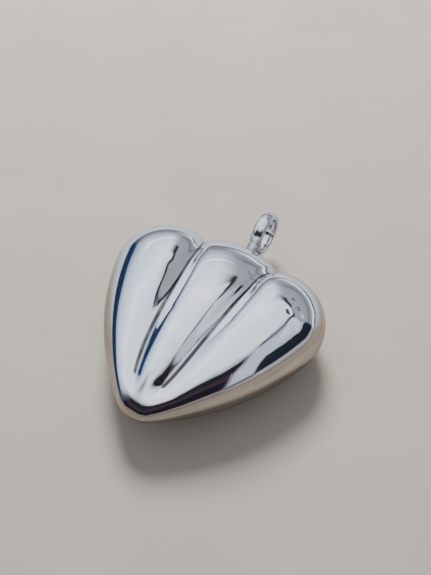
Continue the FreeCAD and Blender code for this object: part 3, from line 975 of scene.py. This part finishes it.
# %% Colours of each side
CEILING = (1.0, (1.12, 1.22, 1.36))
far_side = stops(height, [
    (0.0, (0.22, 0.21, 0.21)), (0.10, (0.26, 0.27, 0.30)), (0.24, (0.50, 0.55, 0.63)),
    (0.42, (0.80, 0.90, 1.08)), (0.47, (0.90, 1.00, 1.16)), (0.50, (1.90, 1.98, 2.05)),
    (0.53, (0.98, 1.08, 1.24)), (0.72, (1.12, 1.25, 1.46)), (0.86, (1.38, 1.49, 1.64)), CEILING])
left_side = stops(height, [
    (0.0, (0.02, 0.03, 0.07)), (0.22, (0.02, 0.04, 0.11)), (0.28, (0.42, 0.49, 0.64)),
    (0.45, (0.80, 0.91, 1.12)), (0.68, (1.07, 1.20, 1.42)), (0.85, (1.34, 1.45, 1.60)), CEILING])
right_side = stops(height, [
    (0.0, (0.10, 0.07, 0.05)), (0.07, (1.4, 1.45, 1.5)), (0.15, (0.40, 0.37, 0.45)),
    (0.22, (0.30, 0.29, 0.36)), (0.30, (0.20, 0.21, 0.25)), (0.38, (0.34, 0.37, 0.42)),
    (0.69, (0.40, 0.43, 0.47)), (0.755, (0.03, 0.035, 0.05)), (0.79, (0.05, 0.055, 0.07)),
    (0.82, (1.00, 1.11, 1.28)), CEILING])
near_left = stops(height, [
    (0.0, (0.20, 0.15, 0.12)), (0.12, (0.30, 0.24, 0.22)), (0.18, (0.02, 0.015, 0.02)),
    (0.40, (0.012, 0.012, 0.025)), (0.50, (0.055, 0.035, 0.045)), (0.72, (0.02, 0.018, 0.025)),
    (0.79, (0.62, 0.66, 0.74)), (0.86, (1.10, 1.18, 1.30)), CEILING])
near_middle = stops(height, [
    (0.0, (0.42, 0.38, 0.36)), (0.14, (0.10, 0.10, 0.13)), (0.20, (0.55, 0.58, 0.66)),
    (0.45, (0.62, 0.69, 0.80)), (0.76, (0.62, 0.68, 0.78)), (0.805, (0.06, 0.065, 0.09)),
    (0.825, (0.08, 0.09, 0.12)), (0.85, (1.02, 1.12, 1.28)), CEILING])
near_right = stops(height, [
    (0.0, (0.50, 0.46, 0.46)), (0.10, (0.42, 0.38, 0.46)), (0.14, (0.015, 0.02, 0.03)),
    (0.47, (0.02, 0.025, 0.035)), (0.50, (0.55, 0.62, 0.70)), (0.72, (0.85, 0.93, 1.03)), CEILING])
print("six sides, ceiling colour", CEILING[1])

# %% Join the sides
ROOM_STRENGTH = 1.12
DIFFUSE_GREY = (0.34, 0.345, 0.355, 1)   # what lights the floor evenly
VIEW_COLOUR = (0.80, 0.77, 0.73, 1)      # the plain pale backdrop
beyond = mixed(smooth(rightward, -0.35, -0.62), far_side, left_side)
sides = mixed(smooth(rightward, 0.10, 0.40), beyond, right_side)
near_half = mixed(smooth(rightward, 0.40, 0.48), near_left, near_middle)
around = mixed(smooth(away, 0.05, -0.30), sides, near_half)
in_panel = add_node(room, "ShaderNodeMath", {"operation": "MULTIPLY"}, i0=smooth(rightward, 0.62, 0.65),
                    i1=smooth(away, 0.06, -0.01)).outputs[0]
seen = mixed(in_panel, around, near_right)
ray = room.nodes.new("ShaderNodeLightPath")
dimmed = mixed(ray.outputs["Is Diffuse Ray"], seen, DIFFUSE_GREY)
colour = mixed(ray.outputs["Is Camera Ray"], dimmed, VIEW_COLOUR)
room.links.new(colour, backdrop.inputs["Color"])
backdrop.inputs["Strength"].default_value = ROOM_STRENGTH
print("room nodes: %d" % len(room.nodes))

# %% [markdown]
# ## One soft lamp
# The world alone would leave the pendant without a shadow, as if it floated. One round lamp at the
# far left lays a soft shadow to the near right. It doesn't show in the metal, where the painted
# room already has its lights.

# %% Soft lamp
LAMP_PLACE = Vector((-0.10, 0.15, 0.22))
lamp_data = bpy.data.lights.new("window_light", "AREA")
lamp_data.shape = "DISK"
lamp_data.size = 0.11
lamp_data.energy = 1.25
lamp_data.color = (1.0, 0.98, 0.95)
lamp = bpy.data.objects.new("window_light", lamp_data)
bpy.context.scene.collection.objects.link(lamp)
lamp.location = LAMP_PLACE
lamp.rotation_euler = (-LAMP_PLACE).to_track_quat("-Z", "Y").to_euler()
lamp.visible_glossy = False
print("lamp %.2f m away" % LAMP_PLACE.length)

# %% [markdown]
# ## Camera
# The camera looks down at the pendant from its near right, close enough for some perspective. Its
# three directions could be set by turning it with a Track To constraint. Here they are worked out
# from its turn, elevation and roll, so each can be changed by itself.

# %% Camera
ELEVATION, ROLL = math.radians(53.80), math.radians(-0.965)
DISTANCE = 88.0
AIM_UP_HEART = 15                  # the point aimed at, from the heart's datum
SHIFT_RIGHT, SHIFT_UP = 1.7226, 3.9437
SENSOR = 36
FIELD_LENGTH = 71.875              # how much of the aimed-at plane fits the long side of the view
back_way = Vector((math.sin(CAMERA_TURN) * math.cos(ELEVATION),
                   -math.cos(CAMERA_TURN) * math.cos(ELEVATION), math.sin(ELEVATION)))
level_right = Vector((math.cos(CAMERA_TURN), math.sin(CAMERA_TURN), 0))
level_up = back_way.cross(level_right)
right_way = math.cos(ROLL) * level_right + math.sin(ROLL) * level_up
up_way = math.cos(ROLL) * level_up - math.sin(ROLL) * level_right
target = Vector((0, AIM_UP_HEART + DATUM_Y, SEAM_Z))
stand = target + right_way * SHIFT_RIGHT + up_way * SHIFT_UP + back_way * DISTANCE
lens = bpy.data.cameras.new("camera")
camera = bpy.data.objects.new("camera", lens)
bpy.context.scene.collection.objects.link(camera)
facing_matrix = Matrix((right_way, up_way, back_way)).transposed().to_4x4()
camera.matrix_world = Matrix.Translation(stand * MM) @ facing_matrix
lens.lens = SENSOR * DISTANCE / FIELD_LENGTH
lens.sensor_width = SENSOR
lens.clip_start = 0.005
bpy.context.scene.camera = camera
print("camera %.0f mm away, lens %.2f mm" % (DISTANCE, lens.lens))
